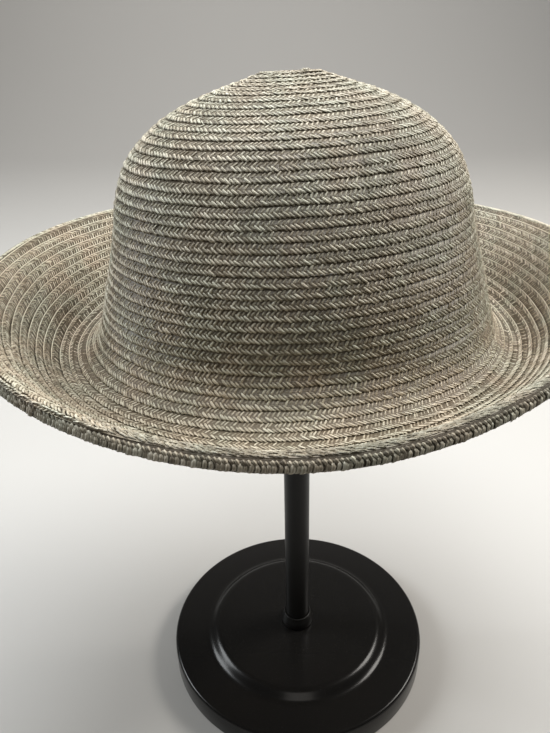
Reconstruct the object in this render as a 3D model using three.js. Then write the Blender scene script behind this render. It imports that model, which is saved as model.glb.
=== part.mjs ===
import * as THREE from 'three';

// Straw hat with an upturned brim, on a plain round display stand.
// Millimetres, +Z up. The origin is the middle of the underside of the base,
// -Y is the front. A turn is an angle round the hat, from the front towards +X.

// Straw
const WALL = 2.0; // thickness of the sewn braid
const GAP = 0.4; // clearance between neighbouring pieces
const SEAM = 0.035; // half the gap between crown and brim, in rows of braid
const TURNS = 56; // steps round the hat
const CROWN_LAST_ROW = 32;
const RIM_ROW = 49.6;

// The hat leans a little on its stand, about a point in the middle of the crown.
const LEAN_HEIGHT = 257;
const LEAN_BACK = THREE.MathUtils.degToRad(-1.5);
const LEAN_LEFT = THREE.MathUtils.degToRad(-0.9);
const OVAL_TURN = THREE.MathUtils.degToRad(4);

// The crown is an oval. Rows of braid are counted from the tip.
const CROWN = [
  { row: 0.6, depth: 0.8, side: 13, height: 385.2 },
  { row: 2, depth: 6.6, side: 19.5, height: 382.8 },
  { row: 4, depth: 15.6, side: 30.5, height: 379.2 },
  { row: 6, depth: 24.8, side: 42, height: 375.3 },
  { row: 8, depth: 33.6, side: 53, height: 370.6 },
  { row: 10, depth: 42, side: 62.5, height: 365.2 },
  { row: 12, depth: 49, side: 70.2, height: 359.3 },
  { row: 14, depth: 54.5, side: 77.6, height: 351.8 },
  { row: 16, depth: 60, side: 82.8, height: 343.6 },
  { row: 19, depth: 66.8, side: 87.4, height: 330.4 },
  { row: 22, depth: 72.8, side: 90, height: 317 },
  { row: 25, depth: 78, side: 93, height: 304 },
  { row: 28, depth: 82, side: 96.8, height: 290.6 },
  { row: 32, depth: 86, side: 101.5, height: 272.2 },
];

// The brim's rise in degrees at each row, at eight directions round the hat.
const DIRECTIONS = ['front', 'frontRight', 'right', 'backRight', 'back', 'backLeft', 'left', 'frontLeft'];
const BRIM_RISE = [
  { row: 32, front: -71, frontRight: -72, right: -71, backRight: -73, back: -74, backLeft: -74, left: -72, frontLeft: -71 },
  { row: 34, front: -55, frontRight: -66, right: -71, backRight: -43, back: -31, backLeft: -50, left: -62, frontLeft: -58 },
  { row: 36, front: -34, frontRight: -43, right: -48, backRight: -16, back: 8, backLeft: -11, left: -29, frontLeft: -32 },
  { row: 38, front: -11, frontRight: -2, right: 4, backRight: 2, back: 13, backLeft: 25, left: 21, frontLeft: 3 },
  { row: 40, front: 10, frontRight: 28, right: 41, backRight: 26, back: 15, backLeft: 37, left: 52, frontLeft: 26 },
  { row: 42, front: 30, frontRight: 39, right: 52, backRight: 39, back: 22, backLeft: 40, left: 58, frontLeft: 40 },
  { row: 45, front: 44, frontRight: 48, right: 50, backRight: 37, back: 30, backLeft: 43, left: 53, frontLeft: 50 },
  { row: 47.8, front: 47, frontRight: 56, right: 47, backRight: 28, back: 30, backLeft: 40, left: 42, frontLeft: 46 },
  { row: 49, front: 4, frontRight: 20, right: 38, backRight: 19, back: 31, backLeft: 43, left: 34, frontLeft: 13 },
  { row: 50, front: 2, frontRight: 16, right: 32, backRight: 10, back: 32, backLeft: 45, left: 30, frontLeft: 10 },
];
// How far one row of braid takes the brim outwards along its slope.
const ROW_WIDTH = { front: 5.02, frontRight: 4.84, right: 4.88, backRight: 5.2, back: 5.07, backLeft: 4.8, left: 4.88, frontLeft: 5.2 };
const RISE_STEP = 0.25; // rows per step along the brim's slope

// The doubled row of braid that hangs from the brim's rim
const EDGE_THICK = 2.4;
const EDGE_DROP = 5;
const EDGE_ABOVE_RIM = 0.8;
const EDGE_SPREAD = 1.1; // how much further out its foot is than its top

// Stand
const BASE_RADIUS = 87;
const BASE_EDGE_HEIGHT = 17.2;
const BASE_TOP_HEIGHT = 22;
const STEP_FOOT_RADIUS = 66;
const STEP_TOP_RADIUS = 54;
const EDGE_ROUND = 2.2;
const FOOT_BEVEL = 1;
const POST_RADIUS = 8;
const COLLAR_FOOT_RADIUS = 10.8;
const COLLAR_TOP_RADIUS = 9.4;
const COLLAR_HEIGHT = 9;
const HEAD_TOP_HEIGHT = 379.8;
const HEAD_RADIUS = 26;
const HEAD_DROP = 9.5; // how far the head's dome falls to its edge
const HEAD_EDGE = 7;
const HEAD_NECK = 12;

// Colours
const STRAW = { color: 0x8f8776, roughness: 0.85, metalness: 0 };
const EDGE_STRAW = { color: 0x6a6458, roughness: 0.85, metalness: 0 };
const LACQUER = { color: 0x0d0c0c, roughness: 0.18, metalness: 0 };

// A smooth curve through one column of a table that is sorted by row.
function column(table, key, row) {
  let i = 0;
  while (i < table.length - 2 && row >= table[i + 1].row) i += 1;
  const a = table[i];
  const b = table[i + 1];
  const before = table[Math.max(i - 1, 0)];
  const after = table[Math.min(i + 2, table.length - 1)];
  const span = b.row - a.row;
  const t = (row - a.row) / span;
  const slopeA = ((b[key] - before[key]) / (b.row - before.row)) * span;
  const slopeB = ((after[key] - a[key]) / (after.row - a.row)) * span;
  return (2 * t ** 3 - 3 * t ** 2 + 1) * a[key] + (t ** 3 - 2 * t ** 2 + t) * slopeA
    + (-2 * t ** 3 + 3 * t ** 2) * b[key] + (t ** 3 - t ** 2) * slopeB;
}

// A smooth closed curve round the hat through eight values, one per direction.
function around(values, turn) {
  const count = DIRECTIONS.length;
  const place = ((turn / (2 * Math.PI)) * count + count) % count;
  const i = Math.floor(place);
  const t = place - i;
  const [p0, p1, p2, p3] = [-1, 0, 1, 2].map((d) => values[(i + d + count) % count]);
  return 0.5 * (2 * p1 + (p2 - p0) * t + (2 * p0 - 5 * p1 + 4 * p2 - p3) * t ** 2
    + (3 * p1 - p0 - 3 * p2 + p3) * t ** 3);
}

// A point on the middle of the crown's wall.
function crownPoint(row, turn) {
  const x = column(CROWN, 'side', row) * Math.sin(turn);
  const y = -column(CROWN, 'depth', row) * Math.cos(turn);
  const height = column(CROWN, 'height', row);
  return new THREE.Vector3(x, y, height).applyAxisAngle(new THREE.Vector3(0, 0, 1), OVAL_TURN);
}

// The brim's slope at one direction, walked outwards row by row: points [out, up] from the crown's last row.
function brimSlope(turn) {
  const width = around(DIRECTIONS.map((name) => ROW_WIDTH[name]), turn);
  const riseAt = (row) => THREE.MathUtils.degToRad(around(DIRECTIONS.map((name) => column(BRIM_RISE, name, row)), turn));
  const walk = [{ row: CROWN_LAST_ROW, out: 0, up: 0 }];
  for (let row = CROWN_LAST_ROW; row < BRIM_RISE.at(-1).row; row += RISE_STEP) {
    const rise = riseAt(row + RISE_STEP / 2);
    const last = walk.at(-1);
    const step = RISE_STEP * width;
    walk.push({ row: row + RISE_STEP, out: last.out + step * Math.cos(rise), up: last.up + step * Math.sin(rise) });
  }
  return walk;
}

const slopes = new Map();
function slopeAt(turn) {
  const key = turn.toFixed(5);
  if (!slopes.has(key)) slopes.set(key, brimSlope(turn));
  return slopes.get(key);
}

// A point on the middle of the hat's wall, crown or brim.
function wallPoint(row, step) {
  const turn = (step / TURNS) * 2 * Math.PI;
  if (row <= CROWN_LAST_ROW) return crownPoint(row, turn);
  const start = crownPoint(CROWN_LAST_ROW, turn);
  const direction = Math.atan2(start.x, -start.y);
  const walk = slopeAt((direction + 2 * Math.PI) % (2 * Math.PI));
  const place = (row - CROWN_LAST_ROW) / RISE_STEP;
  const i = Math.min(Math.floor(place), walk.length - 2);
  const out = THREE.MathUtils.lerp(walk[i].out, walk[i + 1].out, place - i);
  const up = THREE.MathUtils.lerp(walk[i].up, walk[i + 1].up, place - i);
  return start.add(new THREE.Vector3(Math.sin(direction) * out, -Math.cos(direction) * out, up));
}

// The wall's outward (upper) normal, from the points beside it.
function wallNormal(row, step) {
  const reach = 0.2;
  const along = wallPoint(row + reach, step).sub(wallPoint(Math.max(row - reach, CROWN[0].row), step));
  const round = wallPoint(row, step + reach).sub(wallPoint(row, step - reach));
  return along.cross(round).normalize();
}

// A closed body from rings of points: neighbouring rings are joined, a ring of one point is a pole.
function skin(rings, closed) {
  const positions = [];
  const starts = [];
  rings.forEach((ring) => {
    starts.push(positions.length / 3);
    ring.forEach((p) => positions.push(p.x, p.y, p.z));
  });
  const index = [];
  const joins = closed ? rings.length : rings.length - 1;
  for (let r = 0; r < joins; r += 1) {
    const next = (r + 1) % rings.length;
    const count = Math.max(rings[r].length, rings[next].length);
    for (let i = 0; i < count; i += 1) {
      const j = (i + 1) % count;
      const at = (ring, k) => starts[ring] + (rings[ring].length === 1 ? 0 : k);
      if (rings[r].length > 1) index.push(at(r, i), at(next, i), at(r, j));
      if (rings[next].length > 1) index.push(at(r, j), at(next, i), at(next, j));
    }
  }
  const geometry = new THREE.BufferGeometry();
  geometry.setAttribute('position', new THREE.Float32BufferAttribute(positions, 3));
  geometry.setIndex(index);
  geometry.computeVertexNormals();
  return geometry;
}

// One ring of the wall's outer or inner face, at a row or at a row for each step round.
function wallRing(place, offset) {
  return Array.from({ length: TURNS }, (_, step) => {
    const row = typeof place === 'function' ? place(step) : place;
    return wallPoint(row, step).addScaledVector(wallNormal(row, step), offset);
  });
}

function crownShell() {
  const rows = [0.9, 2, 4, 6, 8, 10, 12, 14, 16, 19, 22, 25, 28, 30, CROWN_LAST_ROW - SEAM];
  const tip = wallPoint(CROWN[0].row, 0).setX(0).setY(0);
  const outside = rows.map((row) => wallRing(row, WALL / 2));
  const inside = rows.map((row) => wallRing(row, -WALL / 2));
  const outerPole = [tip.clone().setZ(tip.z + WALL / 2)];
  const innerPole = [tip.clone().setZ(tip.z - WALL / 2)];
  return skin([outerPole, ...outside, ...inside.reverse(), innerPole], false);
}

// The brim stops just short of the band on its rim, a little further where it is steep.
function brimEndRow(step) {
  const run = wallPoint(RIM_ROW, step).sub(wallPoint(RIM_ROW - RISE_STEP, step));
  const outPerRow = Math.hypot(run.x, run.y) / RISE_STEP;
  const steep = run.z / run.length();
  return RIM_ROW - (EDGE_THICK / 2 + GAP + 0.35 * steep) / outPerRow;
}

function brimShell() {
  const rows = [CROWN_LAST_ROW + SEAM, 33, 34, 35.5, 37, 38.5, 40, 41.5, 43, 44.5, 46, 47.5, 48.3, brimEndRow];
  const upper = rows.map((row) => wallRing(row, WALL / 2));
  const lower = rows.map((row) => wallRing(row, -WALL / 2));
  return skin([...upper, ...lower.reverse()], true);
}

// The rim's edge: a rounded band that hangs outside the brim's last row.
function rimEdge() {
  const half = EDGE_THICK / 2;
  const corner = half * 0.6;
  const outline = [
    { out: -half, up: EDGE_ABOVE_RIM - corner },
    { out: -half + corner, up: EDGE_ABOVE_RIM },
    { out: half - corner, up: EDGE_ABOVE_RIM },
    { out: half, up: EDGE_ABOVE_RIM - corner },
    { out: half + EDGE_SPREAD, up: corner - EDGE_DROP },
    { out: half - corner + EDGE_SPREAD, up: -EDGE_DROP },
    { out: -half + corner + EDGE_SPREAD, up: -EDGE_DROP },
    { out: -half + EDGE_SPREAD, up: corner - EDGE_DROP },
  ];
  const rings = outline.map(({ out, up }) => Array.from({ length: TURNS }, (_, step) => {
    const rim = wallPoint(RIM_ROW, step);
    const direction = Math.atan2(rim.x, -rim.y);
    return rim.add(new THREE.Vector3(Math.sin(direction) * out, -Math.cos(direction) * out, up));
  }));
  return skin(rings, true);
}

// A turned body from an outline of [radius, height] pairs, spun about the vertical axis.
function turned(outline, sides) {
  const points = outline.map(([radius, height]) => new THREE.Vector2(radius, height));
  return new THREE.LatheGeometry(points, sides).rotateX(Math.PI / 2);
}

// Points along a quarter of a circle, from one angle to another in degrees.
function arc(radiusAt, heightAt, size, from, to, steps) {
  return Array.from({ length: steps + 1 }, (_, i) => {
    const angle = THREE.MathUtils.degToRad(from + ((to - from) * i) / steps);
    return [radiusAt + size * Math.cos(angle), heightAt + size * Math.sin(angle)];
  });
}

function standBase() {
  const stepRun = STEP_FOOT_RADIUS - STEP_TOP_RADIUS;
  const stepRise = BASE_TOP_HEIGHT - BASE_EDGE_HEIGHT;
  const sweep = [0.2, 0.4, 0.6, 0.8].map((t) => [
    STEP_FOOT_RADIUS - stepRun * t,
    BASE_EDGE_HEIGHT + stepRise * (t - Math.sin(2 * Math.PI * t) / (2 * Math.PI)),
  ]);
  return turned([
    [0, 0],
    [BASE_RADIUS - FOOT_BEVEL, 0],
    [BASE_RADIUS, FOOT_BEVEL],
    ...arc(BASE_RADIUS - EDGE_ROUND, BASE_EDGE_HEIGHT - EDGE_ROUND, EDGE_ROUND, 0, 90, 3),
    [STEP_FOOT_RADIUS, BASE_EDGE_HEIGHT],
    ...sweep,
    [STEP_TOP_RADIUS, BASE_TOP_HEIGHT],
    [0, BASE_TOP_HEIGHT],
  ], 64);
}

function postCollar() {
  const bore = POST_RADIUS + GAP;
  const foot = BASE_TOP_HEIGHT + GAP;
  return turned([
    [bore, foot],
    [COLLAR_FOOT_RADIUS, foot],
    [COLLAR_FOOT_RADIUS, foot + COLLAR_HEIGHT * 0.35],
    [COLLAR_TOP_RADIUS, foot + COLLAR_HEIGHT * 0.85],
    [COLLAR_TOP_RADIUS - 0.6, foot + COLLAR_HEIGHT],
    [bore, foot + COLLAR_HEIGHT],
    [bore, foot],
  ], 32);
}

// The post ends in a small domed head that carries the crown from inside.
function standPost() {
  const dome = [1, 0.8, 0.55, 0.3].map((t) => [HEAD_RADIUS * t, HEAD_TOP_HEIGHT - HEAD_DROP * t ** 2]);
  const headEdge = HEAD_TOP_HEIGHT - HEAD_DROP - HEAD_EDGE;
  return turned([
    [0, BASE_TOP_HEIGHT + GAP],
    [POST_RADIUS, BASE_TOP_HEIGHT + GAP],
    [POST_RADIUS, headEdge - HEAD_NECK],
    [HEAD_RADIUS, headEdge],
    ...dome,
    [0, HEAD_TOP_HEIGHT],
  ], 32);
}

function piece(name, geometry, finish) {
  const mesh = new THREE.Mesh(geometry, new THREE.MeshStandardMaterial(finish));
  mesh.name = name;
  return mesh;
}

const hatPieces = [
  piece('crown', crownShell(), STRAW),
  piece('brim', brimShell(), STRAW),
  piece('brim_edge', rimEdge(), EDGE_STRAW),
];
hatPieces.forEach((mesh) => mesh.geometry.translate(0, 0, -LEAN_HEIGHT));

const hat = new THREE.Group();
hat.add(...hatPieces);
hat.position.z = LEAN_HEIGHT;
hat.rotation.set(LEAN_BACK, LEAN_LEFT, 0);

const stand = new THREE.Group();
stand.add(
  piece('stand_base', standBase(), LACQUER),
  piece('post_collar', postCollar(), LACQUER),
  piece('stand_post', standPost(), LACQUER),
);

const group = new THREE.Group();
group.add(hat, stand);

export default group;
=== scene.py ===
import math

import bpy
import numpy as np
from mathutils import Matrix, Vector


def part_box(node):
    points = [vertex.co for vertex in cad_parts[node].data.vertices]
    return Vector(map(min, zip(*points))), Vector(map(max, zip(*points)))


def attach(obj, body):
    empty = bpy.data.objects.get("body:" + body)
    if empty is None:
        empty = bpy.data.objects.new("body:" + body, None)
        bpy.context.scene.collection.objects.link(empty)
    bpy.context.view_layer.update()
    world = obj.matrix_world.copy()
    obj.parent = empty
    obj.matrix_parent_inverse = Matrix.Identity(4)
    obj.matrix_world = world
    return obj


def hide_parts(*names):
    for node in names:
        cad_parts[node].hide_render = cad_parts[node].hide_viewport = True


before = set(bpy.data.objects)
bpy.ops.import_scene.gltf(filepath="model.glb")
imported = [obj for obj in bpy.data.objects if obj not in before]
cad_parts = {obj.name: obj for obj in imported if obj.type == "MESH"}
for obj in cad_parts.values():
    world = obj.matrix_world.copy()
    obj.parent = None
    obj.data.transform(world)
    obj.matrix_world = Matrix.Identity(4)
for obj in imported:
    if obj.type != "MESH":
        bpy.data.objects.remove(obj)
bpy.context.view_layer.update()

bl_info = {
    "name": "Straw hat on a turned stand",
    "version": (1, 0, 0),
    "blender": (4, 5, 0),
    "location": "3D View > Sidebar > Straw hat",
    "description": "Builds the sewn braid, the rim and the lacquered stand of a straw hat, and its studio",
    "category": "Add Mesh",
}

MM = 0.001

# The two tables of the hat's form are the same as in the CAD part. Most of their numbers are the rounded
# output of a fit of the rows of braid that show in the photo; the tip's and the rim's were set one by one.
# The crown's rows of braid, counted from the tip: half depth, half side and height in millimetres.
CROWN = np.array([
    # row, depth, side, height
    (0.6, 0.8, 13, 385.2),
    (2, 6.6, 19.5, 382.8),
    (4, 15.6, 30.5, 379.2),
    (6, 24.8, 42, 375.3),
    (8, 33.6, 53, 370.6),
    (10, 42, 62.5, 365.2),
    (12, 49, 70.2, 359.3),
    (14, 54.5, 77.6, 351.8),
    (16, 60, 82.8, 343.6),
    (19, 66.8, 87.4, 330.4),
    (22, 72.8, 90, 317),
    (25, 78, 93, 304),
    (28, 82, 96.8, 290.6),
    (32, 86, 101.5, 272.2),
])
# The brim's rise in degrees by row, at eight directions round the hat from the front towards the right.
BRIM_RISE = np.array([
    # row, front, front right, right, back right, back, back left, left, front left
    (32, -71, -72, -71, -73, -74, -74, -72, -71),
    (34, -55, -66, -71, -43, -31, -50, -62, -58),
    (36, -34, -43, -48, -16, 8, -11, -29, -32),
    (38, -11, -2, 4, 2, 13, 25, 21, 3),
    (40, 10, 28, 41, 26, 15, 37, 52, 26),
    (42, 30, 39, 52, 39, 22, 40, 58, 40),
    (45, 44, 48, 50, 37, 30, 43, 53, 50),
    (47.8, 47, 56, 47, 28, 30, 40, 42, 46),
    (49, 4, 20, 38, 19, 31, 43, 34, 13),
    (50, 2, 16, 32, 10, 32, 45, 30, 10),
], float)
# How far one row takes the brim outwards along its slope, in millimetres, at the same eight directions
ROW_WIDTH = np.array((5.02, 4.84, 4.88, 5.2, 5.07, 4.8, 4.88, 5.2))
CROWN_LAST_ROW = 32
CROWN_STEP = 0.2  # rows per step down the crown
RISE_STEP = 0.25  # rows per step along the brim's slope
# The hat leans a little on its stand, about a point in the middle of the crown at this height.
LEAN_HEIGHT = 257
LEAN_BACK = math.radians(-1.5)
LEAN_LEFT = math.radians(-0.9)
OVAL_TURN = math.radians(4)  # how far the crown's oval is turned on its stand
TIP_ROWS = 5
TIP_CROWDING = 1.3  # these first rows are sewn this much closer together


def column(table, place, rows):
    """A smooth curve through one column of a table sorted by row, read at many rows."""
    stations, values = table[:, 0], table[:, place]
    i = np.clip(np.searchsorted(stations, rows, side="right") - 1, 0, len(stations) - 2)
    before, after = np.maximum(i - 1, 0), np.minimum(i + 2, len(stations) - 1)
    span = stations[i + 1] - stations[i]
    t = (rows - stations[i]) / span
    leave = (values[i + 1] - values[before]) / (stations[i + 1] - stations[before]) * span
    arrive = (values[after] - values[i]) / (stations[after] - stations[i]) * span
    return ((2 * t**3 - 3 * t**2 + 1) * values[i] + (t**3 - 2 * t**2 + t) * leave
            + (3 * t**2 - 2 * t**3) * values[i + 1] + (t**3 - t**2) * arrive)


def around(values, turns):
    """A smooth closed curve round the hat through eight values, read at many turns."""
    place = (turns / (2 * math.pi) * 8) % 8
    i = np.floor(place).astype(int)
    t = place - i
    p0, p1, p2, p3 = (values[..., (i + d) % 8] for d in (-1, 0, 1, 2))
    return 0.5 * (2 * p1 + (p2 - p0) * t + (2 * p0 - 5 * p1 + 4 * p2 - p3) * t**2
                  + (3 * p1 - p0 - 3 * p2 + p3) * t**3)


class HatForm:
    """The middle of the hat's wall as a fine net, by row of braid and by turn round the hat."""

    def __init__(self):
        turns = np.linspace(0, 2 * math.pi, 361)
        crown_rows = np.arange(CROWN[0, 0], CROWN_LAST_ROW + 1e-6, CROWN_STEP)
        brim_rows = np.arange(CROWN_LAST_ROW + RISE_STEP, BRIM_RISE[-1, 0] + 1e-6, RISE_STEP)
        depth, side, height = (column(CROWN, k, crown_rows)[:, None] for k in (1, 2, 3))
        x, y = side * np.sin(turns), -depth * np.cos(turns)
        cos, sin = math.cos(OVAL_TURN), math.sin(OVAL_TURN)
        x, y = x * cos - y * sin, x * sin + y * cos
        crown = np.stack([x, y, height + 0 * x], axis=-1)
        foot = crown[-1]
        direction = np.arctan2(foot[:, 0], -foot[:, 1]) % (2 * math.pi)
        width = around(ROW_WIDTH, direction)
        middles = brim_rows - RISE_STEP / 2
        rises = np.stack([column(BRIM_RISE, k, middles) for k in range(1, 9)], axis=-1)
        rise = np.radians(around(rises, direction))
        out = np.cumsum(np.cos(rise) * width * RISE_STEP, axis=0)
        up = np.cumsum(np.sin(rise) * width * RISE_STEP, axis=0)
        brim = foot + np.stack([np.sin(direction) * out, -np.cos(direction) * out, up], axis=-1)
        self.rows = np.concatenate([crown_rows, brim_rows])
        net = np.concatenate([crown, brim])
        x, y, z = net[..., 0], net[..., 1], net[..., 2] - LEAN_HEIGHT
        cos, sin = math.cos(LEAN_BACK), math.sin(LEAN_BACK)
        y, z = y * cos - z * sin, y * sin + z * cos
        cos, sin = math.cos(LEAN_LEFT), math.sin(LEAN_LEFT)
        x, z = x * cos + z * sin, z * cos - x * sin
        self.net = np.stack([x, y, z + LEAN_HEIGHT], axis=-1)
        along = np.gradient(self.net, axis=0)
        wrapped = np.concatenate([self.net[:, -2:-1], self.net, self.net[:, 1:2]], axis=1)
        round_ = wrapped[:, 2:] - wrapped[:, :-2]
        normal = np.cross(along, round_)
        self.normal = normal / np.maximum(np.linalg.norm(normal, axis=-1, keepdims=True), 1e-9)

    def read(self, net, rows, turns):
        """Values between the points of a net, at these rows and turns."""
        rows = np.where(rows < TIP_ROWS, TIP_ROWS - (TIP_ROWS - rows) / TIP_CROWDING, rows)
        place = np.interp(rows, self.rows, np.arange(len(self.rows)))
        i = np.clip(place.astype(int), 0, len(self.rows) - 2)
        t = (place - i)[..., None]
        step = np.degrees(turns) % 360
        j = np.clip(step.astype(int), 0, 359)
        s = (step - j)[..., None]
        low = net[i, j] * (1 - s) + net[i, j + 1] * s
        high = net[i + 1, j] * (1 - s) + net[i + 1, j + 1] * s
        return low * (1 - t) + high * t

    def at(self, rows, turns, lift):
        """Points at these rows and turns, lifted off the wall's middle along its normal."""
        return self.read(self.net, rows, turns) + self.read(self.normal, rows, turns) * lift[..., None]


FORM = HatForm()
ROW_PITCH = 4.75  # mean width of a row, in millimetres
FIRST_ROW = -1.05
LAST_ROW = 49.75
STITCH_END = LAST_ROW - 0.1  # the last row with stitches, at the sides and back
BAND_ROW = 48.15  # in front the last turn of braid lies flat from here and shows no stitches
BAND_EDGE = 49.36  # where that flat band ends
# The rows at which the spiral is cut into pieces
CROWN_CUT = 19
BRIM_CUTS = (38.6, 44.4, 49.8)
BRIM_GROUND_END = 49.6
# The doubled row that hangs from the rim, in millimetres apart from its row
RIM_ROW = 49.45
RIM_DROP = 5.3
RIM_SPREAD = 1.6
RIM_LEAN = math.atan2(1.1, 5)
CLEARANCE = 0.4  # between neighbouring pieces of the stand, in millimetres


def spiral_length(rows):
    """Length of the braid, in millimetres, from the tip to each place along its spiral.
    A place is a row number that grows by one in each turn, clockwise seen from above."""
    points = FORM.at(rows, -2 * math.pi * rows, np.zeros(len(rows)))
    return np.concatenate([[0], np.cumsum(np.linalg.norm(np.diff(points, axis=0), axis=1))])


PLACES = np.arange(FIRST_ROW - 0.02, LAST_ROW + 0.6, 1 / 720)
LENGTHS = spiral_length(PLACES)


def sway(length):
    """How far a row wanders from its line, in rows: no row of sewn braid runs quite true."""
    return 0.028 * np.sin(length / 7.3) + 0.028 * np.sin(length / 17.9 + 1) + 0.02 * np.sin(length / 47)


def band_share(places):
    """How much of the flat light band shows in front: one in its middle, none at the sides and back."""
    return np.clip((np.cos(2 * math.pi * places + 0.14) - 0.72) * 6, 0, 1)


def deselect():
    if bpy.context.object and bpy.context.object.mode != "OBJECT":
        bpy.ops.object.mode_set(mode="OBJECT")
    bpy.ops.object.select_all(action="DESELECT")


def settle(piece, name, material, *nodes, slot):
    """Names a finished piece, gives it its finish and lets it stand for its solids."""
    piece.name = piece.data.name = name
    piece.data.materials.clear()
    piece.data.materials.append(material)
    deselect()
    piece.select_set(True)
    bpy.context.view_layer.objects.active = piece
    bpy.ops.object.transform_apply(location=True, rotation=True, scale=True)
    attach(piece, "root")
    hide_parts(*nodes)
    piece.select_set(False)
    return piece


def straw_stroke():
    """One visible length of straw: a four-sided bar, cut twice, fuller in its middle."""
    deselect()
    bpy.ops.mesh.primitive_cylinder_add(vertices=4, radius=0.5, depth=1, end_fill_type="NGON")
    stroke = bpy.context.object
    bpy.ops.object.mode_set(mode="EDIT")
    for cut in (-0.22, 0.22):
        bpy.ops.mesh.select_all(action="SELECT")
        bpy.ops.mesh.bisect(plane_co=(0, 0, cut), plane_no=(0, 0, 1))
    bpy.ops.object.mode_set(mode="OBJECT")
    for vertex in stroke.data.vertices:
        vertex.select = abs(vertex.co.z) > 0.4
    bpy.ops.object.mode_set(mode="EDIT")
    bpy.ops.mesh.select_mode(type="VERT")
    bpy.ops.transform.resize(value=(0.72, 0.62, 1), center_override=(0, 0, 0))
    bpy.ops.object.mode_set(mode="OBJECT")
    corners = np.array([v.co for v in stroke.data.vertices])
    faces = np.array([list(p.vertices) for p in stroke.data.polygons])
    bpy.data.objects.remove(stroke)
    return corners, faces


def own_lay(across, along, jitter):
    """Each straw's coordinates in the pattern of fibres, moved to a place of its own."""
    return np.stack(np.broadcast_arrays(across + np.round(jitter[0] * 9), along + jitter[1] * 9), axis=-1)


def dressed(name, mesh, tone, lay):
    """A smooth object from a mesh, with a tone and fibre coordinates for each of its points."""
    mesh.polygons.foreach_set("use_smooth", np.ones(len(mesh.polygons), dtype=bool))
    shade = mesh.attributes.new("straw_tone", "FLOAT", "POINT")
    shade.data.foreach_set("value", tone.astype(np.float32).ravel())
    corner = np.empty(len(mesh.loops), dtype=np.int32)
    mesh.loops.foreach_get("vertex_index", corner)
    spread = mesh.uv_layers.new(name="straw_lay")
    spread.data.foreach_set("uv", lay.reshape(-1, 2)[corner].astype(np.float32).ravel())
    mesh.update()
    piece = bpy.data.objects.new(name, mesh)
    bpy.context.scene.collection.objects.link(piece)
    return piece


def joined(name, points, faces, tone, lay):
    """One piece from many copies of a shape: points by copy and corner, one tone for each copy."""
    copies, corners = points.shape[:2]
    loops = (faces[None] + corners * np.arange(copies)[:, None, None]).reshape(-1)
    mesh = bpy.data.meshes.new(name)
    mesh.vertices.add(copies * corners)
    mesh.vertices.foreach_set("co", (points * MM).astype(np.float32).ravel())
    mesh.loops.add(len(loops))
    mesh.loops.foreach_set("vertex_index", loops.astype(np.int32))
    sides = faces.shape[1]
    mesh.polygons.add(len(loops) // sides)
    mesh.polygons.foreach_set("loop_start", np.arange(0, len(loops), sides, dtype=np.int32))
    mesh.update(calc_edges=True)
    return dressed(name, mesh, np.repeat(tone, corners), lay)


def braid_lift(place, across, settings):
    """How far the braid's middle stands off the wall: each row lies over the next one's inner edge."""
    step = np.interp(place, [32, 36], [settings.overlap_step, settings.overlap_step * 1.35]) / MM
    return (across - 0.5) * step


def beads(places):
    """Where a row's outer edge stands up as a bead, painted light as a highlight: at the sides and back of the
    brim.
    """
    return np.clip((0.5 - np.cos(2 * math.pi * places)) * 2.5, 0, 1)


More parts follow.
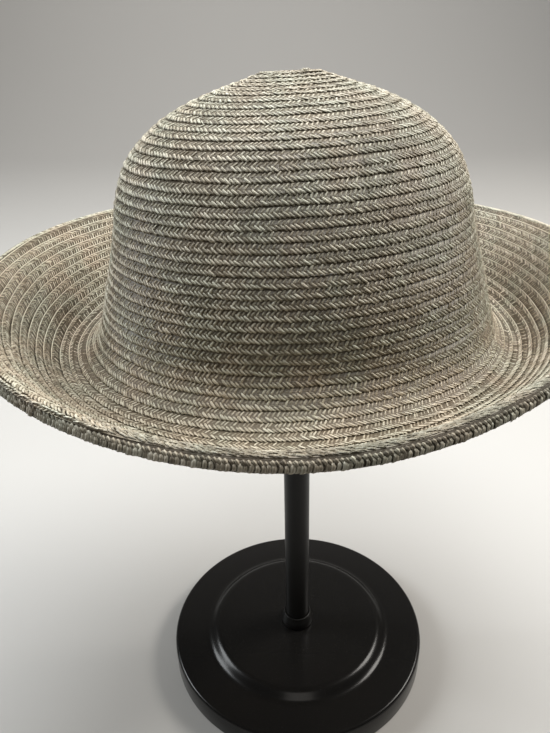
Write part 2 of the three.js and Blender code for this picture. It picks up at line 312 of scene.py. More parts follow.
def braid_strokes(name, first, last, settings):
    """The two arms of each stitch of the plait between two rows, laid along the spiral."""
    stations = np.linspace(first, last, 400)
    stitch = np.interp(stations, [30, 38], [settings.crown_stitch, settings.brim_stitch]) / MM
    count = np.concatenate([[0], np.cumsum(np.diff(np.interp(stations, PLACES, LENGTHS)) / stitch[1:])])
    steps = np.arange(0, count[-1])
    starts = np.interp(np.interp(steps, count, stations), PLACES, LENGTHS)
    rng = np.random.default_rng(int(first * 10) + 17)
    corners, faces = straw_stroke()
    along = corners[:, 2] + 0.5
    bow = np.sin(np.pi * along)
    wide, thick = settings.strand_width / MM, settings.strand_thickness / MM
    # The tone drifts slowly along the braid, and every other stitch stands a little higher.
    drift = 0.5 * np.sin(starts / 23 + rng.uniform(0, 6)) + 0.5 * np.sin(starts / 61 + rng.uniform(0, 6))
    pair = np.where(steps.astype(int) % 2 == 0, 1, -1)
    on_crown = last <= CROWN_LAST_ROW
    inner_end = 0.09 if on_crown else 0.02
    arms = (
        # begin and end along the row in millimetres and across it, width, crest, sink, bend, tone
        ((0.15, 0.57), (1.7, inner_end), 1.16, 0.15, -0.2, -0.07, -0.02),
        ((-0.95, 0.47), (2.35, 0.99), 1.16, 0.3, 0.05, 0.07, 0.06),
    )
    pieces = []
    for begin, end, width, crest, sink, bend, tint in arms:
        ds, dv = end[0] - begin[0], (end[1] - begin[1]) * ROW_PITCH
        length = math.hypot(ds, dv)
        cross_s, cross_v = width * wide * dv / length, -width * wide * ds / length / ROW_PITCH
        n = len(starts)
        # for each straw: width, place along, place across, bend, lift, slant
        jitter = rng.normal(0, 1, (6, n, 1))
        bead = (not on_crown) * beads(np.interp(starts, LENGTHS, PLACES))[:, None]
        size = (1 + 0.1 * jitter[0]) * (1 - 0.14 * bead)
        s = begin[0] + ds * along + corners[:, 0] * cross_s * size + 0.14 * jitter[1]
        v = begin[1] + (end[1] - begin[1]) * along + corners[:, 0] * cross_v * size - 0.1 * bead * along
        v = v + 0.02 * jitter[2] + 0.05 * jitter[5] * (along - 0.5) + bend * bow * (1 + 0.3 * jitter[3])
        w = corners[:, 1] * thick * size + crest * bow - sink * along + 0.06 * jitter[4] + 0.06 * pair[:, None]
        place = np.interp(starts[:, None] - s, LENGTHS, PLACES)
        rows = np.minimum(place + v + sway(starts[:, None]), LAST_ROW)
        points = FORM.at(rows, -2 * math.pi * place, w + braid_lift(place, v, settings))
        tone = 0.5 + 0.13 * rng.normal(0, 1, n) + 0.05 * pair + 0.08 * drift + tint
        lay = own_lay(corners[:, 0], along, jitter)
        spot = place[:, 0]
        middle = spot + (begin[1] + end[1]) / 2
        keep = middle < STITCH_END - (STITCH_END - BAND_ROW) * band_share(spot)
        # The last turn is painted darker at the sides and back, as shade.
        tone = tone - 0.2 * ((middle > 48.7) & (np.cos(2 * math.pi * spot) < 0.2))
        pieces.append((points[keep], tone[keep], lay[keep]))
    points, tone, lay = (np.concatenate([p[k] for p in pieces]) for k in range(3))
    return joined(name, points, faces, np.clip(tone, 0, 1), lay)


def strip(name, rings, tone, closed):
    """A long closed body from rings of points, with a tone for each point and a lay along it."""
    count, ring = rings.shape[:2]
    i, j = np.meshgrid(np.arange(count if closed else count - 1), np.arange(ring), indexing="ij")
    k, m = (j + 1) % ring, (i + 1) % count
    quads = np.stack([i * ring + j, i * ring + k, m * ring + k, m * ring + j], axis=-1).reshape(-1, 4)
    ends = [] if closed else [list(range(ring))[::-1], list(range((count - 1) * ring, count * ring))]
    mesh = bpy.data.meshes.new(name)
    mesh.from_pydata((rings.reshape(-1, 3) * MM).tolist(), [], quads.tolist() + ends)
    run = np.concatenate([[0], np.cumsum(np.linalg.norm(np.diff(rings[:, 0], axis=0), axis=1))])
    side = np.concatenate([[0], np.cumsum(np.linalg.norm(np.diff(rings[0], axis=0), axis=1))])
    lay = np.stack(np.broadcast_arrays(side[None] * 0.5, run[:, None] * 0.3), axis=-1)
    return dressed(name, mesh, np.broadcast_to(tone, (count, ring)), lay)


def braid_ground(name, first, last, settings):
    """The flat body of the braid under its stitches: one strip along the spiral, higher at its outer edge,
    darkened as painted shade between the stitches.
    """
    low, high = np.interp([first, last], PLACES, LENGTHS)
    length = np.linspace(low, high, int((high - low) / 3.8))
    place = np.interp(length, LENGTHS, PLACES)
    half = 0.5 * settings.ground_thickness / MM
    bead = beads(place)[:, None] * (first >= CROWN_LAST_ROW)
    profile = np.array([
        # across the row, lift, tone, and at a bead: more across, more lift and more tone; the lighter tones on
        # the outer edge and the bead are a painted highlight
        (-0.14, -half - 0.35, 0, 0, 0, 0),
        (0.5, -half - 0.35, 0, 0, 0, 0),
        (0.93, -half - 0.6, 0, 0, 0, 0),
        (0.93, -0.1, 0, 0.05, 0, 0),
        (0.92, half, 0.3, 0.055, 0.6, 0.9),
        (0.85, half, 0.3, 0.05, 0.6, 0.9),
        (0.8, half, 0.1, 0.05, 0, 0),
        (-0.14, half, 0, 0, 0, 0),
    ])
    rows = place[:, None] + profile[:, 0] + bead * profile[:, 3] + sway(length)[:, None]
    rows = np.minimum(rows, np.where(band_share(place) > 0, BAND_ROW + 0.5, STITCH_END)[:, None])
    turns = np.broadcast_to(-2 * math.pi * place[:, None], rows.shape)
    lift = profile[:, 1] + bead * profile[:, 4] + braid_lift(place[:, None], rows - place[:, None], settings)
    # Painted light and shade: the outer edge and the beads are lightened as highlights, and the body is
    # darkened between the stitches.
    tone = profile[:, 2] + bead * profile[:, 5] + settings.gap_painted_shade
    return strip(name, FORM.at(rows, turns, lift), tone, False)


def rim_points(across, lengthwise, lift):
    """Points on the doubled row that hangs from the rim, and the rim's length.
    Across runs from 0 at the row's top to 1 at its foot."""
    turns = np.arange(0, 361) * math.pi / 180
    ring = FORM.at(np.full(361, RIM_ROW), turns, np.zeros(361))
    run = np.concatenate([[0], np.cumsum(np.linalg.norm(np.diff(ring, axis=0), axis=1))])
    spot = lengthwise % run[-1]
    x, y, z = (np.interp(spot, run, ring[:, k]) for k in range(3))
    direction = np.arctan2(x, -y)
    out = 0.45 + RIM_SPREAD * across + lift * math.cos(RIM_LEAN)
    up = 0.5 - RIM_DROP * across + lift * math.sin(RIM_LEAN)
    return np.stack([x + np.sin(direction) * out, y - np.cos(direction) * out, z + up], axis=-1), run[-1]


def node(tree, kind, **sockets):
    """A shader node with its settings and the values or links of its inputs, by name or as i0, i1 and so on."""
    made = tree.nodes.new(kind)
    for key, value in sockets.items():
        if key in ("operation", "blend_type", "data_type", "attribute_name", "uv_map"):
            setattr(made, key, value)
            continue
        numbered = key[0] == "i" and key[1:].isdigit()
        place = made.inputs[int(key[1:]) if numbered else key]
        if isinstance(value, bpy.types.NodeSocket):
            tree.links.new(value, place)
        else:
            place.default_value = value
    return made


def new_material(name):
    material = bpy.data.materials.new(name)
    material.use_nodes = True
    tree = material.node_tree
    return material, tree, tree.nodes["Principled BSDF"]


def straw_finish(name, dark, mid, light, roughness=0.5, bounce_warmth=0.0):
    """Dry plaited straw: each strand has its own tone, two filaments side by side and fine fibres along it."""
    material, tree, shader = new_material(name)
    tone = node(tree, "ShaderNodeAttribute", attribute_name="straw_tone")
    lay = node(tree, "ShaderNodeUVMap", uv_map="straw_lay")
    spot = node(tree, "ShaderNodeTexCoord")
    blotch = node(tree, "ShaderNodeTexNoise", Vector=spot.outputs["Object"], Scale=38.0, Detail=3.0)
    fleck = node(tree, "ShaderNodeTexNoise", Vector=spot.outputs["Object"], Scale=900.0, Detail=2.0)
    stretch = node(tree, "ShaderNodeMapping", Vector=lay.outputs["UV"], Scale=(9, 1.2, 1))
    fibre = node(tree, "ShaderNodeTexNoise", Vector=stretch.outputs[0], Scale=1.0, Detail=3.0)
    across = node(tree, "ShaderNodeSeparateXYZ", Vector=lay.outputs["UV"])
    angle = node(tree, "ShaderNodeMath", operation="MULTIPLY", i0=across.outputs[0], i1=4 * math.pi)
    groove = node(tree, "ShaderNodeMath", operation="COSINE", i0=angle.outputs[0])
    total = tone.outputs["Fac"]
    for part, weight in ((blotch, 0.35), (fleck, 0.35), (fibre, 0.4), (groove, -0.16)):
        added = node(tree, "ShaderNodeMath", operation="MULTIPLY_ADD", i0=part.outputs[0], i1=weight, i2=total)
        total = added.outputs[0]
    spread = node(tree, "ShaderNodeMapRange", Value=total)
    spread.inputs["From Max"].default_value = 1.35
    ramp = node(tree, "ShaderNodeValToRGB", Fac=spread.outputs[0])
    ramp.color_ramp.elements[0].position = 0.4
    ramp.color_ramp.elements[0].color = (*dark, 1)
    ramp.color_ramp.elements[1].position = 1.0
    ramp.color_ramp.elements[1].color = (*light, 1)
    middle = ramp.color_ramp.elements.new(0.72)
    middle.color = (*mid, 1)
    patch = node(tree, "ShaderNodeTexNoise", Vector=spot.outputs["Object"], Scale=55.0, Detail=1.0)
    cast = node(tree, "ShaderNodeValToRGB", Fac=patch.outputs[0])
    cast.color_ramp.elements[0].position = 0.38
    # The warmth paints a warm cast of bounced light into the straw's colour.
    cast.color_ramp.elements[0].color = (0.94, 0.98 - bounce_warmth, 0.95 - 1.7 * bounce_warmth, 1)
    cast.color_ramp.elements[1].position = 0.62
    cast.color_ramp.elements[1].color = (1.0, 0.96 - bounce_warmth, 0.915 - 1.7 * bounce_warmth, 1)
    tinted = node(tree, "ShaderNodeMix", data_type="RGBA", blend_type="MULTIPLY", i0=1.0,
                  i6=ramp.outputs[0], i7=cast.outputs[0])
    tree.links.new(tinted.outputs[2], shader.inputs["Base Color"])
    shader.inputs["Roughness"].default_value = roughness
    height = node(tree, "ShaderNodeMath", operation="MULTIPLY_ADD",
                  i0=groove.outputs[0], i1=-0.35, i2=fibre.outputs[0])
    bump = node(tree, "ShaderNodeBump", Strength=0.7, Distance=0.00022, Height=height.outputs[0])
    tree.links.new(bump.outputs[0], shader.inputs["Normal"])
    return material


def lacquer_finish(name, colour, roughness):
    """Glossy black lacquer with a faint polish haze and fine dust."""
    material, tree, shader = new_material(name)
    spot = node(tree, "ShaderNodeTexCoord")
    haze = node(tree, "ShaderNodeTexNoise", Vector=spot.outputs["Object"], Scale=35.0, Detail=4.0)
    dust = node(tree, "ShaderNodeTexNoise", Vector=spot.outputs["Object"], Scale=1400.0, Detail=1.0)
    polish = node(tree, "ShaderNodeMapRange", Value=haze.outputs[0])
    polish.inputs["To Min"].default_value = roughness * 0.75
    polish.inputs["To Max"].default_value = roughness * 1.35
    tree.links.new(polish.outputs[0], shader.inputs["Roughness"])
    ramp = node(tree, "ShaderNodeValToRGB", Fac=dust.outputs[0])
    ramp.color_ramp.elements[0].position = 0.66
    ramp.color_ramp.elements[0].color = (*colour, 1)
    ramp.color_ramp.elements[1].position = 0.8
    ramp.color_ramp.elements[1].color = (*[c * 2.5 + 0.004 for c in colour], 1)
    tree.links.new(ramp.outputs[0], shader.inputs["Base Color"])
    shader.inputs["Specular IOR Level"].default_value = 0.25
    bump = node(tree, "ShaderNodeBump", Strength=0.08, Distance=0.0004, Height=haze.outputs[0])
    tree.links.new(bump.outputs[0], shader.inputs["Normal"])
    return material


def turned(outline, sides, bored=False):
    """A turned body, drawn ring by ring from its foot by extruding and scaling. Outline in millimetres."""
    deselect()
    radius, height = outline[0]
    fill = "NOTHING" if bored else "NGON"
    bpy.ops.mesh.primitive_circle_add(
        vertices=sides, radius=radius * MM, fill_type=fill, location=(0, 0, height * MM))
    body = bpy.context.object
    bpy.ops.object.transform_apply(location=True)
    bpy.ops.object.mode_set(mode="EDIT")
    bpy.ops.mesh.select_all(action="SELECT")
    for next_radius, next_height in outline[1:]:
        bpy.ops.mesh.extrude_region_move(
            TRANSFORM_OT_translate={"value": (0, 0, (next_height - height) * MM)})
        grow = next_radius / radius
        bpy.ops.transform.resize(value=(grow, grow, 1), center_override=(0, 0, next_height * MM))
        radius, height = next_radius, next_height
    bpy.ops.mesh.select_all(action="SELECT")
    bpy.ops.mesh.remove_doubles(threshold=1e-6)
    bpy.ops.mesh.normals_make_consistent(inside=False)
    bpy.ops.object.mode_set(mode="OBJECT")
    bpy.ops.object.shade_smooth_by_angle(angle=math.radians(32))
    return body


def arc(radius_at, height_at, size, start, stop, steps):
    """Points of a rounded corner, from one angle to another in degrees."""
    angles = np.radians(np.linspace(start, stop, steps + 1))
    return [(radius_at + size * math.cos(a), height_at + size * math.sin(a)) for a in angles]


class HatBraidSettings(bpy.types.PropertyGroup):
    crown_stitch: bpy.props.FloatProperty(
        name="Crown stitch", description="Length of one stitch of the plait on the crown",
        default=0.00208, unit="LENGTH")
    brim_stitch: bpy.props.FloatProperty(
        name="Brim stitch", description="Length of one stitch of the plait on the brim",
        default=0.00186, unit="LENGTH")
    strand_width: bpy.props.FloatProperty(
        name="Strand width", description="Width of a strand where it shows", default=0.001, unit="LENGTH")
    strand_thickness: bpy.props.FloatProperty(
        name="Strand thickness", description="Thickness of a strand through the braid",
        default=0.00105, unit="LENGTH")
    ground_thickness: bpy.props.FloatProperty(
        name="Body thickness", description="Thickness of the braid's body under the stitches",
        default=0.0005, unit="LENGTH")
    overlap_step: bpy.props.FloatProperty(
        name="Overlap step", description="How far a row's outer edge stands over the next row",
        default=0.0005, unit="LENGTH")
    straw_dark: bpy.props.FloatVectorProperty(
        name="Dark straw", description="Colour of the darkest strands", subtype="COLOR",
        default=(0.11, 0.088, 0.06))
    straw_mid: bpy.props.FloatVectorProperty(
        name="Middle straw", description="Colour of most strands", subtype="COLOR",
        default=(0.36, 0.32, 0.245))
    straw_light: bpy.props.FloatVectorProperty(
        name="Light straw", description="Colour of the lightest strands", subtype="COLOR",
        default=(0.62, 0.585, 0.49))
    # Painted shade: how far the braid's body between the stitches is darkened.
    gap_painted_shade: bpy.props.FloatProperty(
        name="Body tone", description="How light the braid's body is between the stitches", default=-0.3)
    # Painted shade: the factor that darkens the rim's doubled row against the rest of the braid.
    rim_painted_shade: bpy.props.FloatProperty(
        name="Rim shade", description="How light the rim's doubled row is, against the rest", default=0.78)


class HatStandSettings(bpy.types.PropertyGroup):
    base_radius: bpy.props.FloatProperty(
        name="Base radius", description="Outer radius of the base",
        default=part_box("stand_base")[1].x, unit="LENGTH")
    base_top: bpy.props.FloatProperty(
        name="Base height", description="Height of the base's raised middle",
        default=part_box("stand_base")[1].z, unit="LENGTH")
    base_edge: bpy.props.FloatProperty(
        name="Edge height", description="Height of the base's outer ring", default=0.0172, unit="LENGTH")
    post_radius: bpy.props.FloatProperty(
        name="Post radius", description="Radius of the post", default=0.008, unit="LENGTH")
    lacquer: bpy.props.FloatVectorProperty(
        name="Lacquer", description="Colour of the black lacquer", subtype="COLOR",
        default=(0.0085, 0.008, 0.0075))
    gloss: bpy.props.FloatProperty(
        name="Gloss roughness", description="Roughness of the polished base", default=0.2, subtype="FACTOR")


class HatStageSettings(bpy.types.PropertyGroup):
    floor: bpy.props.FloatVectorProperty(
        name="Floor", description="Colour of the floor and backdrop", subtype="COLOR",
        default=(0.52, 0.508, 0.488))
    key: bpy.props.FloatProperty(
        name="Key light", description="Power of the large light overhead", default=8.5, unit="POWER")
    side: bpy.props.FloatProperty(
        name="Side lights", description="Power of each light beside the hat", default=12.5, unit="POWER")
    fill: bpy.props.FloatProperty(
        name="Front fill", description="Power of the light in front", default=1.7, unit="POWER")
    backdrop: bpy.props.FloatProperty(
        name="Backdrop light", description="Power of the light on the backdrop", default=24.0, unit="POWER")
    air: bpy.props.FloatProperty(
        name="Air light", description="Strength of the light from all round", default=0.06)


class HAT_OT_crown(bpy.types.Operator):
    """Sews the crown's rows of braid in one spiral from the tip down"""
    bl_idname = "straw_hat.crown"
    bl_label = "Crown braid"

    def execute(self, context):
        settings = context.scene.hat_braid
        straw = straw_finish("braid_straw", settings.straw_dark, settings.straw_mid, settings.straw_light)
        rows = (("crown_top_braid", FIRST_ROW, CROWN_CUT), ("crown_wall_braid", CROWN_CUT, CROWN_LAST_ROW))
        for name, first, last in rows:
            settle(braid_strokes(name, first, last, settings), name, straw, "crown", slot="straw")
        ground = braid_ground("crown_ground", FIRST_ROW, CROWN_LAST_ROW, settings)
        settle(ground, "crown_ground", straw, "crown", slot="straw")
        return {"FINISHED"}


class HAT_OT_tip(bpy.types.Operator):
    """Ties the braid's first end into a small knot at the crown's tip"""
    bl_idname = "straw_hat.tip"
    bl_label = "Tip knot"

    def execute(self, context):
        corners, faces = straw_stroke()
        rng = np.random.default_rng(3)
        # The braid starts with a short straight run in three lines along the oval's middle.
        # The front line is there on the right only.
        left, right = FORM.at(np.full(2, -0.7), np.radians([-90, 90]), np.zeros(2))
        share, beside = np.meshgrid(np.linspace(-0.02, 1.02, 24), (-1.7, -0.5, 0.7))
        shown = (beside > -1) | (share > 0.55)
        share, beside = share[shown][:, None], beside[shown][:, None]
        count = len(share)
        spot = left + (right - left) * share
        lean = 0.6 * np.where(np.round(beside * 5) % 2 == 0, 1, -1)
        reach, wide = corners[:, 2] * 2.6, corners[:, 0] * 1.3
        x = spot[:, :1] + reach * np.cos(lean) - wide * np.sin(lean)
        y = spot[:, 1:2] + beside + reach * np.sin(lean) + wide * np.cos(lean)
        z = spot[:, 2:] - 0.3 + corners[:, 1] * 1.0 + 0.15 * np.cos(corners[:, 2] * np.pi)
        start = np.stack(np.broadcast_arrays(x, y, z), axis=-1)
        # The end of the braid is tucked through and stands up as a small tuft, its straws given lighter tones
        # as painted light against the shade on their fronts.
        tuft = 14
        turn = np.linspace(0, 5, tuft)[:, None]
        reach, aside = rng.uniform(2.2, 3.4, (tuft, 1)), rng.uniform(-1.5, 1.5, (tuft, 1))
        x = 4.4 + corners[:, 2] * reach * np.cos(turn) - corners[:, 0] * 0.9 * np.sin(turn) + aside
        y = corners[:, 2] * reach * np.sin(turn) * 0.6 + corners[:, 0] * 0.9 * np.cos(turn) + aside * 0.4
        z = 385.8 + 0.6 * np.cos(corners[:, 2] * np.pi) + 0.5 * corners[:, 1]
        z = z + rng.uniform(-0.3, 0.3, (tuft, 1))
        points = np.concatenate([start, np.stack(np.broadcast_arrays(x, y, z), axis=-1)])
        lay = np.broadcast_to(corners[:, [0, 2]], (count + tuft, len(corners), 2))
        tone = np.concatenate([rng.uniform(0.35, 0.65, count), rng.uniform(0.6, 0.95, tuft)])
        knot = joined("tip_knot", points, faces, tone, lay)
        settle(knot, "tip_knot", bpy.data.materials["braid_straw"], "crown", slot="straw")
        return {"FINISHED"}


class HAT_OT_brim(bpy.types.Operator):
    """Carries the spiral of braid on from the crown's foot, out over the upturned brim"""
    bl_idname = "straw_hat.brim"
    bl_label = "Brim braid"

    def execute(self, context):
        settings = context.scene.hat_braid
        # Painted light: the brim's straw is warmed to stand for warm light bounced onto it.
        straw = straw_finish(
            "brim_straw", settings.straw_dark, settings.straw_mid, settings.straw_light, bounce_warmth=0.04)
        first = CROWN_LAST_ROW
        for name, last in zip(("brim_inner_braid", "brim_middle_braid", "brim_outer_braid"), BRIM_CUTS):
            settle(braid_strokes(name, first, last, settings), name, straw, "brim", slot="straw")
            first = last
        ground = braid_ground("brim_ground", CROWN_LAST_ROW, BRIM_GROUND_END, settings)
        settle(ground, "brim_ground", straw, "brim", slot="straw")
        turns = np.radians(np.arange(360))
        front = band_share(-turns / (2 * math.pi))[:, None]
        profile = np.array([
            # in front: row, lift, tone; elsewhere: row, lift, tone. The dark tones at the band's edge in front
            # are a painted shadow line, those under the stitches elsewhere painted shade, and the light tone on
            # the rim's top at the sides and back a painted highlight
            (48.12, -0.1, -0.1, 48.12, -0.9, -0.3),
            (48.2, 0.2, 0.0, 48.2, -0.6, -0.3),
            (48.6, 0.3, 0.15, 48.6, -0.6, -0.3),
            (49.05, 0.35, 0.2, 49.3, -0.5, -0.3),
            (49.3, 0.25, 0.2, 49.6, 0.0, 0.3),
            (BAND_EDGE, -0.1, -0.3, 49.7, -0.2, 0.1),
            (BAND_EDGE, -0.5, -0.3, 49.6, -0.7, -0.3),
            (48.2, -0.5, -0.3, 48.2, -1.0, -0.3),
        ])
        places = front[..., None] * profile[:, :3] + (1 - front[..., None]) * profile[:, 3:]
        rings = FORM.at(places[..., 0], np.broadcast_to(turns[:, None], places.shape[:2]), places[..., 1])
        band = strip("brim_band", rings, places[..., 2], True)
        settle(band, "brim_band", bpy.data.materials["braid_straw"], "brim", slot="straw")
        self.band_lay(bpy.data.materials["braid_straw"])
        return {"FINISHED"}

    def band_lay(self, straw):
        """Short straws pressed flat along the light band in front, in five overlapping lines."""
        corners, faces = straw_stroke()
        rng = np.random.default_rng(11)
        rows, turns = np.meshgrid((48.33, 48.55, 48.77, 48.99, 49.2), np.radians(np.arange(-48, 64, 0.6)))
        rows, turns = rows.reshape(-1, 1), turns.reshape(-1, 1)
        shown = band_share(-turns[:, 0] / (2 * math.pi)) > 0.3
        rows, turns = rows[shown], turns[shown]
        jitter = rng.normal(0, 1, (5, len(rows), 1))
        turns = turns + 0.005 * jitter[0] + corners[:, 2] * 0.017 * (1 + 0.15 * jitter[1])
        slant = 0.2 + 0.1 * jitter[2]
        rows = np.minimum(rows + 0.05 * jitter[3] + corners[:, 0] * 0.2 + slant * corners[:, 2], BAND_EDGE)
        lift = 0.35 + corners[:, 1] * 0.7 + 0.3 * np.cos(np.pi * corners[:, 2]) + 0.08 * jitter[0]
        tone = np.clip(0.43 + 0.12 * jitter[4][:, 0], 0, 0.95)
        lay = own_lay(corners[:, 0], corners[:, 2], jitter)
        straws = joined("band_straws", FORM.at(rows, turns, lift), faces, tone, lay)
        settle(straws, "band_straws", straw, "brim", slot="straw")


class HAT_OT_rim(bpy.types.Operator):
    """Hangs the doubled row of braid round the rim"""
    bl_idname = "straw_hat.rim"
    bl_label = "Rim row"

    def execute(self, context):
        settings = context.scene.hat_braid
        # Painted shade: the rim row's straw colours are darkened by the rim's shade factor.
        dull = [tuple(c * settings.rim_painted_shade for c in colour)
                for colour in (settings.straw_dark, settings.straw_mid, settings.straw_light)]
        straw = straw_finish("rim_straw", *dull, roughness=0.6)
        rng = np.random.default_rng(5)
        corners, faces = straw_stroke()
        _, length = rim_points(np.zeros(1), np.zeros(1), np.zeros(1))
        count = int(length / 1.95)
        starts = np.arange(count) * length / count
        along = corners[:, 2] + 0.5
        bow = np.sin(np.pi * along)
        parts = []
        layers = (
            # begin and end along the rim in millimetres and across it, width, bend, crest, painted shade in
            # front
            ((-1.3, 0.18), (0.3, 0.62), 1.8, 0.3, 0.2, 0.3),
            ((0.2, 0.4), (-0.5, 1.03), 2.4, 0.7, 0.5, 0.05),
        )
        for begin, end, width, bend, crest, shadow in layers:
            ds, dv = end[0] - begin[0], (end[1] - begin[1]) * RIM_DROP
            size = math.hypot(ds, dv)
            jitter = rng.normal(0, 1, (5, count, 1))
            wide = corners[:, 0] * width * (1 + 0.12 * jitter[0])
            s = begin[0] + ds * along + wide * dv / size + bend * bow * (1 + 0.3 * jitter[4]) + 0.14 * jitter[1]
            v = begin[1] + (end[1] - begin[1]) * along - wide * ds / size / RIM_DROP + 0.025 * jitter[2]
            v = np.minimum(v, 0.97 + 0.02 * jitter[0])
            w = corners[:, 1] * 1.1 + crest * bow - 0.25 * corners[:, 0] + 0.12 * jitter[3]
            points, _ = rim_points(*np.broadcast_arrays(v, starts[:, None] + s, w))
            # Painted shade: the petals are darkened in front, the upper row most.
            tone = 0.5 + 0.15 * rng.normal(0, 1, count) - shadow * band_share(-starts / length)
            parts.append((points, tone, own_lay(corners[:, 0], along, jitter)))
        points, tone, lay = (np.concatenate([p[k] for p in parts]) for k in range(3))
        piece = joined("rim_braid", points, faces, np.clip(tone, 0, 1), lay)
        settle(piece, "rim_braid", straw, "brim_edge", slot="edge_straw")
        stations = np.linspace(0, length, 361)[:-1]
        profile = np.array([
            # across, lift, tone; the dark tones are painted shade under the petals and a painted shadow line
            # along the top
            (0.06, -1.2, -0.4),
            (1.0, -0.9, -0.4),
            (0.97, 0.0, -0.3),
            (0.32, -0.1, -0.4),
            (0.16, -0.6, -0.6),
        ])
        rings = np.stack([rim_points(np.full(360, across), stations, np.full(360, lift))[0]
                          for across, lift, _ in profile], axis=1)
        band = strip("rim_ground", rings, profile[:, 2], True)
        settle(band, "rim_ground", straw, "brim_edge", slot="edge_straw")
        self.edge_cord(length, corners, faces, rng)
        return {"FINISHED"}

    def edge_cord(self, length, corners, faces, rng):
        """The outer edge of the last turn at the sides and back, painted light as a highlight: short slanting
        lengths of straw.
        """
        count = int(length / 1.7)
        starts = np.arange(count)[:, None] * length / count
        starts = starts[band_share(-starts[:, 0] / length) < 0.4]
        jitter = rng.normal(0, 1, (3, len(starts), 1))
        s = starts + corners[:, 2] * 2.8 + 0.15 * jitter[0]
        across = -0.08 + corners[:, 0] * 0.18 - 0.12 * corners[:, 2] + 0.02 * jitter[1]
        lift = -0.5 + corners[:, 1] * 1.3 + 0.6 * corners[:, 2] + 0.15 * jitter[1]
        points, _ = rim_points(*np.broadcast_arrays(across, s, lift))
        # Painted highlight: the cord's straws are given light tones.
        tone = np.clip(0.65 + 0.2 * jitter[2][:, 0], 0, 1)
        cord = joined("rim_cord", points, faces, tone, own_lay(corners[:, 0], corners[:, 2], jitter))
        settle(cord, "rim_cord", bpy.data.materials["braid_straw"], "brim_edge", slot="edge_straw")


class HAT_OT_base(bpy.types.Operator):
    """Turns the stand's round base, with its raised middle"""
    bl_idname = "straw_hat.base"
    bl_label = "Stand base"

    def execute(self, context):
        stand = context.scene.hat_stand
        radius, edge, top = (x / MM for x in (stand.base_radius, stand.base_edge, stand.base_top))
        # The step up to the raised middle, from its foot's radius in to its top's
        foot, crest = 66, 54
        sweep = [(foot - (foot - crest) * t,
                  edge + (top - edge) * (t - math.sin(2 * math.pi * t) / 2 / math.pi))
                 for t in np.linspace(0, 1, 13)]
        outline = [(radius - 1.4, 0), *arc(radius - 1.2, 1.2, 1.2, -75, 0, 4),
                   *arc(radius - 2.2, edge - 2.2, 2.2, 0, 90, 7), *sweep, (30, top), (11.5, top)]
        base = turned(outline, 128)
        finish = lacquer_finish("base_lacquer", stand.lacquer, stand.gloss)
        settle(base, "turned_base", finish, "stand_base", slot="lacquer")
        return {"FINISHED"}


class HAT_OT_post(bpy.types.Operator):
    """Turns the post with the small head that carries the crown, and the collar at its foot"""
    bl_idname = "straw_hat.post"
    bl_label = "Post and collar"

    def execute(self, context):
        stand = context.scene.hat_stand
        finish = lacquer_finish("post_lacquer", [c * 1.2 for c in stand.lacquer], stand.gloss * 1.9)
        radius, top = stand.post_radius / MM, stand.base_top / MM
        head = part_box("stand_post")[1].z / MM
        bore, low = radius + CLEARANCE, top + CLEARANCE
        head_radius, head_drop = 26, 9.5
        dome = [(head_radius * t, head - head_drop * t * t) for t in (1, 0.93, 0.82, 0.68, 0.5, 0.3, 0.12)]
        outline = [(radius, low), (radius, 120), (radius, head - 28.5), (radius + 1.2, head - 27),
                   (head_radius, head - 16.5), *dome]
        settle(turned(outline, 72), "turned_post", finish, "stand_post", slot="lacquer")
        bell = [(bore, low), (10.4, low), *arc(10.1, low + 0.8, 0.7, -60, 0, 3), (10.8, low + 3.2),
                (10.4, low + 5), (9.7, low + 7), (9.4, low + 8.2), *arc(8.9, low + 8.5, 0.5, 0, 90, 3),
                (bore, low + 9), (bore, low)]
        settle(turned(bell, 72, bored=True), "turned_collar", finish, "post_collar", slot="lacquer")
        return {"FINISHED"}


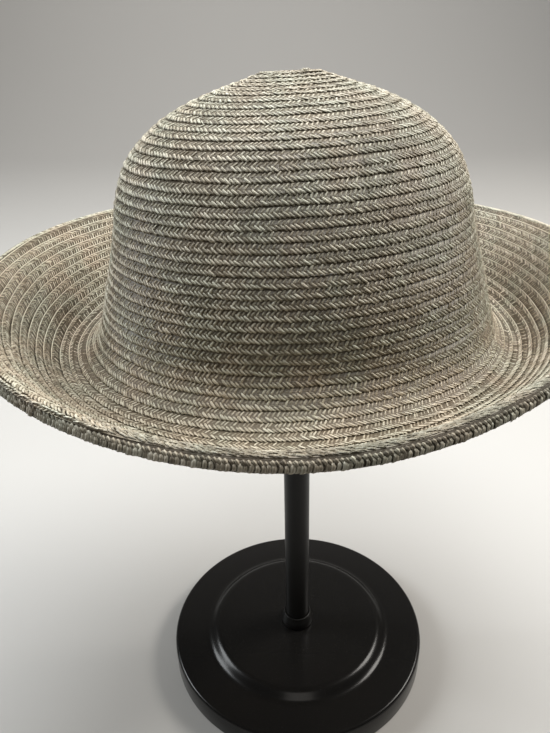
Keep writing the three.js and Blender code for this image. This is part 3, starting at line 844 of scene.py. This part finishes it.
class HAT_OT_stage(bpy.types.Operator):
    """Sets up the pale floor, the soft lights and the camera"""
    bl_idname = "straw_hat.stage"
    bl_label = "Studio"

    def execute(self, context):
        stage = context.scene.hat_stage
        deselect()
        bpy.ops.mesh.primitive_plane_add(size=6, location=(0, -0.6, 0))
        floor = bpy.context.object
        bpy.ops.object.transform_apply(location=True)
        # The far edge is drawn up into the backdrop.
        for polygon in floor.data.polygons:
            polygon.select = False
        for edge in floor.data.edges:
            edge.select = all(floor.data.vertices[v].co.y > 0 for v in edge.vertices)
        for vertex in floor.data.vertices:
            vertex.select = vertex.co.y > 0
        bpy.ops.object.mode_set(mode="EDIT")
        bpy.ops.mesh.extrude_region_move(TRANSFORM_OT_translate={"value": (0, 0, 3)})
        bpy.ops.object.mode_set(mode="OBJECT")
        bevel = floor.modifiers.new("sweep", "BEVEL")
        bevel.width, bevel.segments, bevel.limit_method = 0.9, 16, "ANGLE"
        bpy.ops.object.modifier_apply(modifier="sweep")
        bpy.ops.object.shade_smooth()
        floor.name = "floor"
        material, _, shader = new_material("floor")
        shader.inputs["Base Color"].default_value = (*stage.floor, 1)
        shader.inputs["Roughness"].default_value = 0.75
        floor.data.materials.append(material)

        world = bpy.data.worlds.new("studio")
        world.use_nodes = True
        air = world.node_tree.nodes["Background"]
        air.inputs["Color"].default_value = (1.0, 0.985, 0.96, 1)
        air.inputs["Strength"].default_value = stage.air
        context.scene.world = world

        def lamp(name, at, size, power, colour, towards=(0, 0, 0.28)):
            light = bpy.data.lights.new(name, "AREA")
            light.shape, light.size, light.energy, light.color = "SQUARE", size, power, colour
            holder = bpy.data.objects.new(name, light)
            holder.location = at
            holder.rotation_euler = (Vector(at) - Vector(towards)).to_track_quat("Z", "Y").to_euler()
            context.scene.collection.objects.link(holder)

        lamp("overhead", (0.05, 0.13, 1.0), 0.6, stage.key, (0.95, 0.98, 1.0))
        lamp("left_side", (-1.25, 0.25, 0.95), 0.6, stage.side * 0.97, (0.94, 0.98, 1.0))
        lamp("right_side", (1.0, 0.3, 1.15), 0.6, stage.side * 1.32, (1.0, 0.96, 0.9))
        lamp("backdrop_light", (0, 0.7, 2.0), 1.0, stage.backdrop, (1.0, 0.99, 0.97), (0, 2.4, 0.7))
        lamp("front_fill", (0, -1.0, 1.25), 0.6, stage.fill, (1.0, 0.95, 0.88))

        # The camera stands where the photo's did. Its numbers come from the same fit as the hat's form.
        lens = bpy.data.cameras.new("camera")
        lens.sensor_width, lens.sensor_fit, lens.lens = 36, "AUTO", 33.91
        lens.clip_start, lens.clip_end = 0.01, 50
        camera = bpy.data.objects.new("camera", lens)
        pitch, roll = math.radians(29.66), math.radians(-1.24)
        forward = Vector((0, math.cos(pitch), -math.sin(pitch)))
        right = Vector((1, 0, 0))
        up = right.cross(forward)
        across = right * math.cos(roll) + up * math.sin(roll)
        upright = up * math.cos(roll) - right * math.sin(roll)
        camera.matrix_world = Matrix.Translation((-0.0121, -0.3407, 0.4244)) @ Matrix(
            (across, upright, -forward)).transposed().to_4x4()
        context.scene.collection.objects.link(camera)
        context.scene.camera = camera
        context.scene.view_settings.view_transform = "Standard"
        return {"FINISHED"}


class HAT_PT_panel(bpy.types.Panel):
    """The hat's pieces, in the order they are made"""
    bl_idname = "HAT_PT_panel"
    bl_label = "Straw hat"
    bl_space_type = "VIEW_3D"
    bl_region_type = "UI"
    bl_category = "Straw hat"

    def draw(self, context):
        for group in ("hat_braid", "hat_stand", "hat_stage"):
            settings = getattr(context.scene, group)
            for name in settings.bl_rna.properties.keys():
                if name not in ("rna_type", "name"):
                    self.layout.prop(settings, name)
        for operator in OPERATORS:
            self.layout.operator(operator.bl_idname)


OPERATORS = (HAT_OT_crown, HAT_OT_tip, HAT_OT_brim, HAT_OT_rim, HAT_OT_base, HAT_OT_post, HAT_OT_stage)
CLASSES = (HatBraidSettings, HatStandSettings, HatStageSettings, *OPERATORS, HAT_PT_panel)


def register():
    for made in CLASSES:
        bpy.utils.register_class(made)
    bpy.types.Scene.hat_braid = bpy.props.PointerProperty(type=HatBraidSettings)
    bpy.types.Scene.hat_stand = bpy.props.PointerProperty(type=HatStandSettings)
    bpy.types.Scene.hat_stage = bpy.props.PointerProperty(type=HatStageSettings)


def unregister():
    for name in ("hat_braid", "hat_stand", "hat_stage"):
        delattr(bpy.types.Scene, name)
    for made in reversed(CLASSES):
        bpy.utils.unregister_class(made)


def main():
    register()
    for operator in OPERATORS:
        group, action = operator.bl_idname.split(".")
        getattr(getattr(bpy.ops, group), action)()


if __name__ == "__main__":
    main()
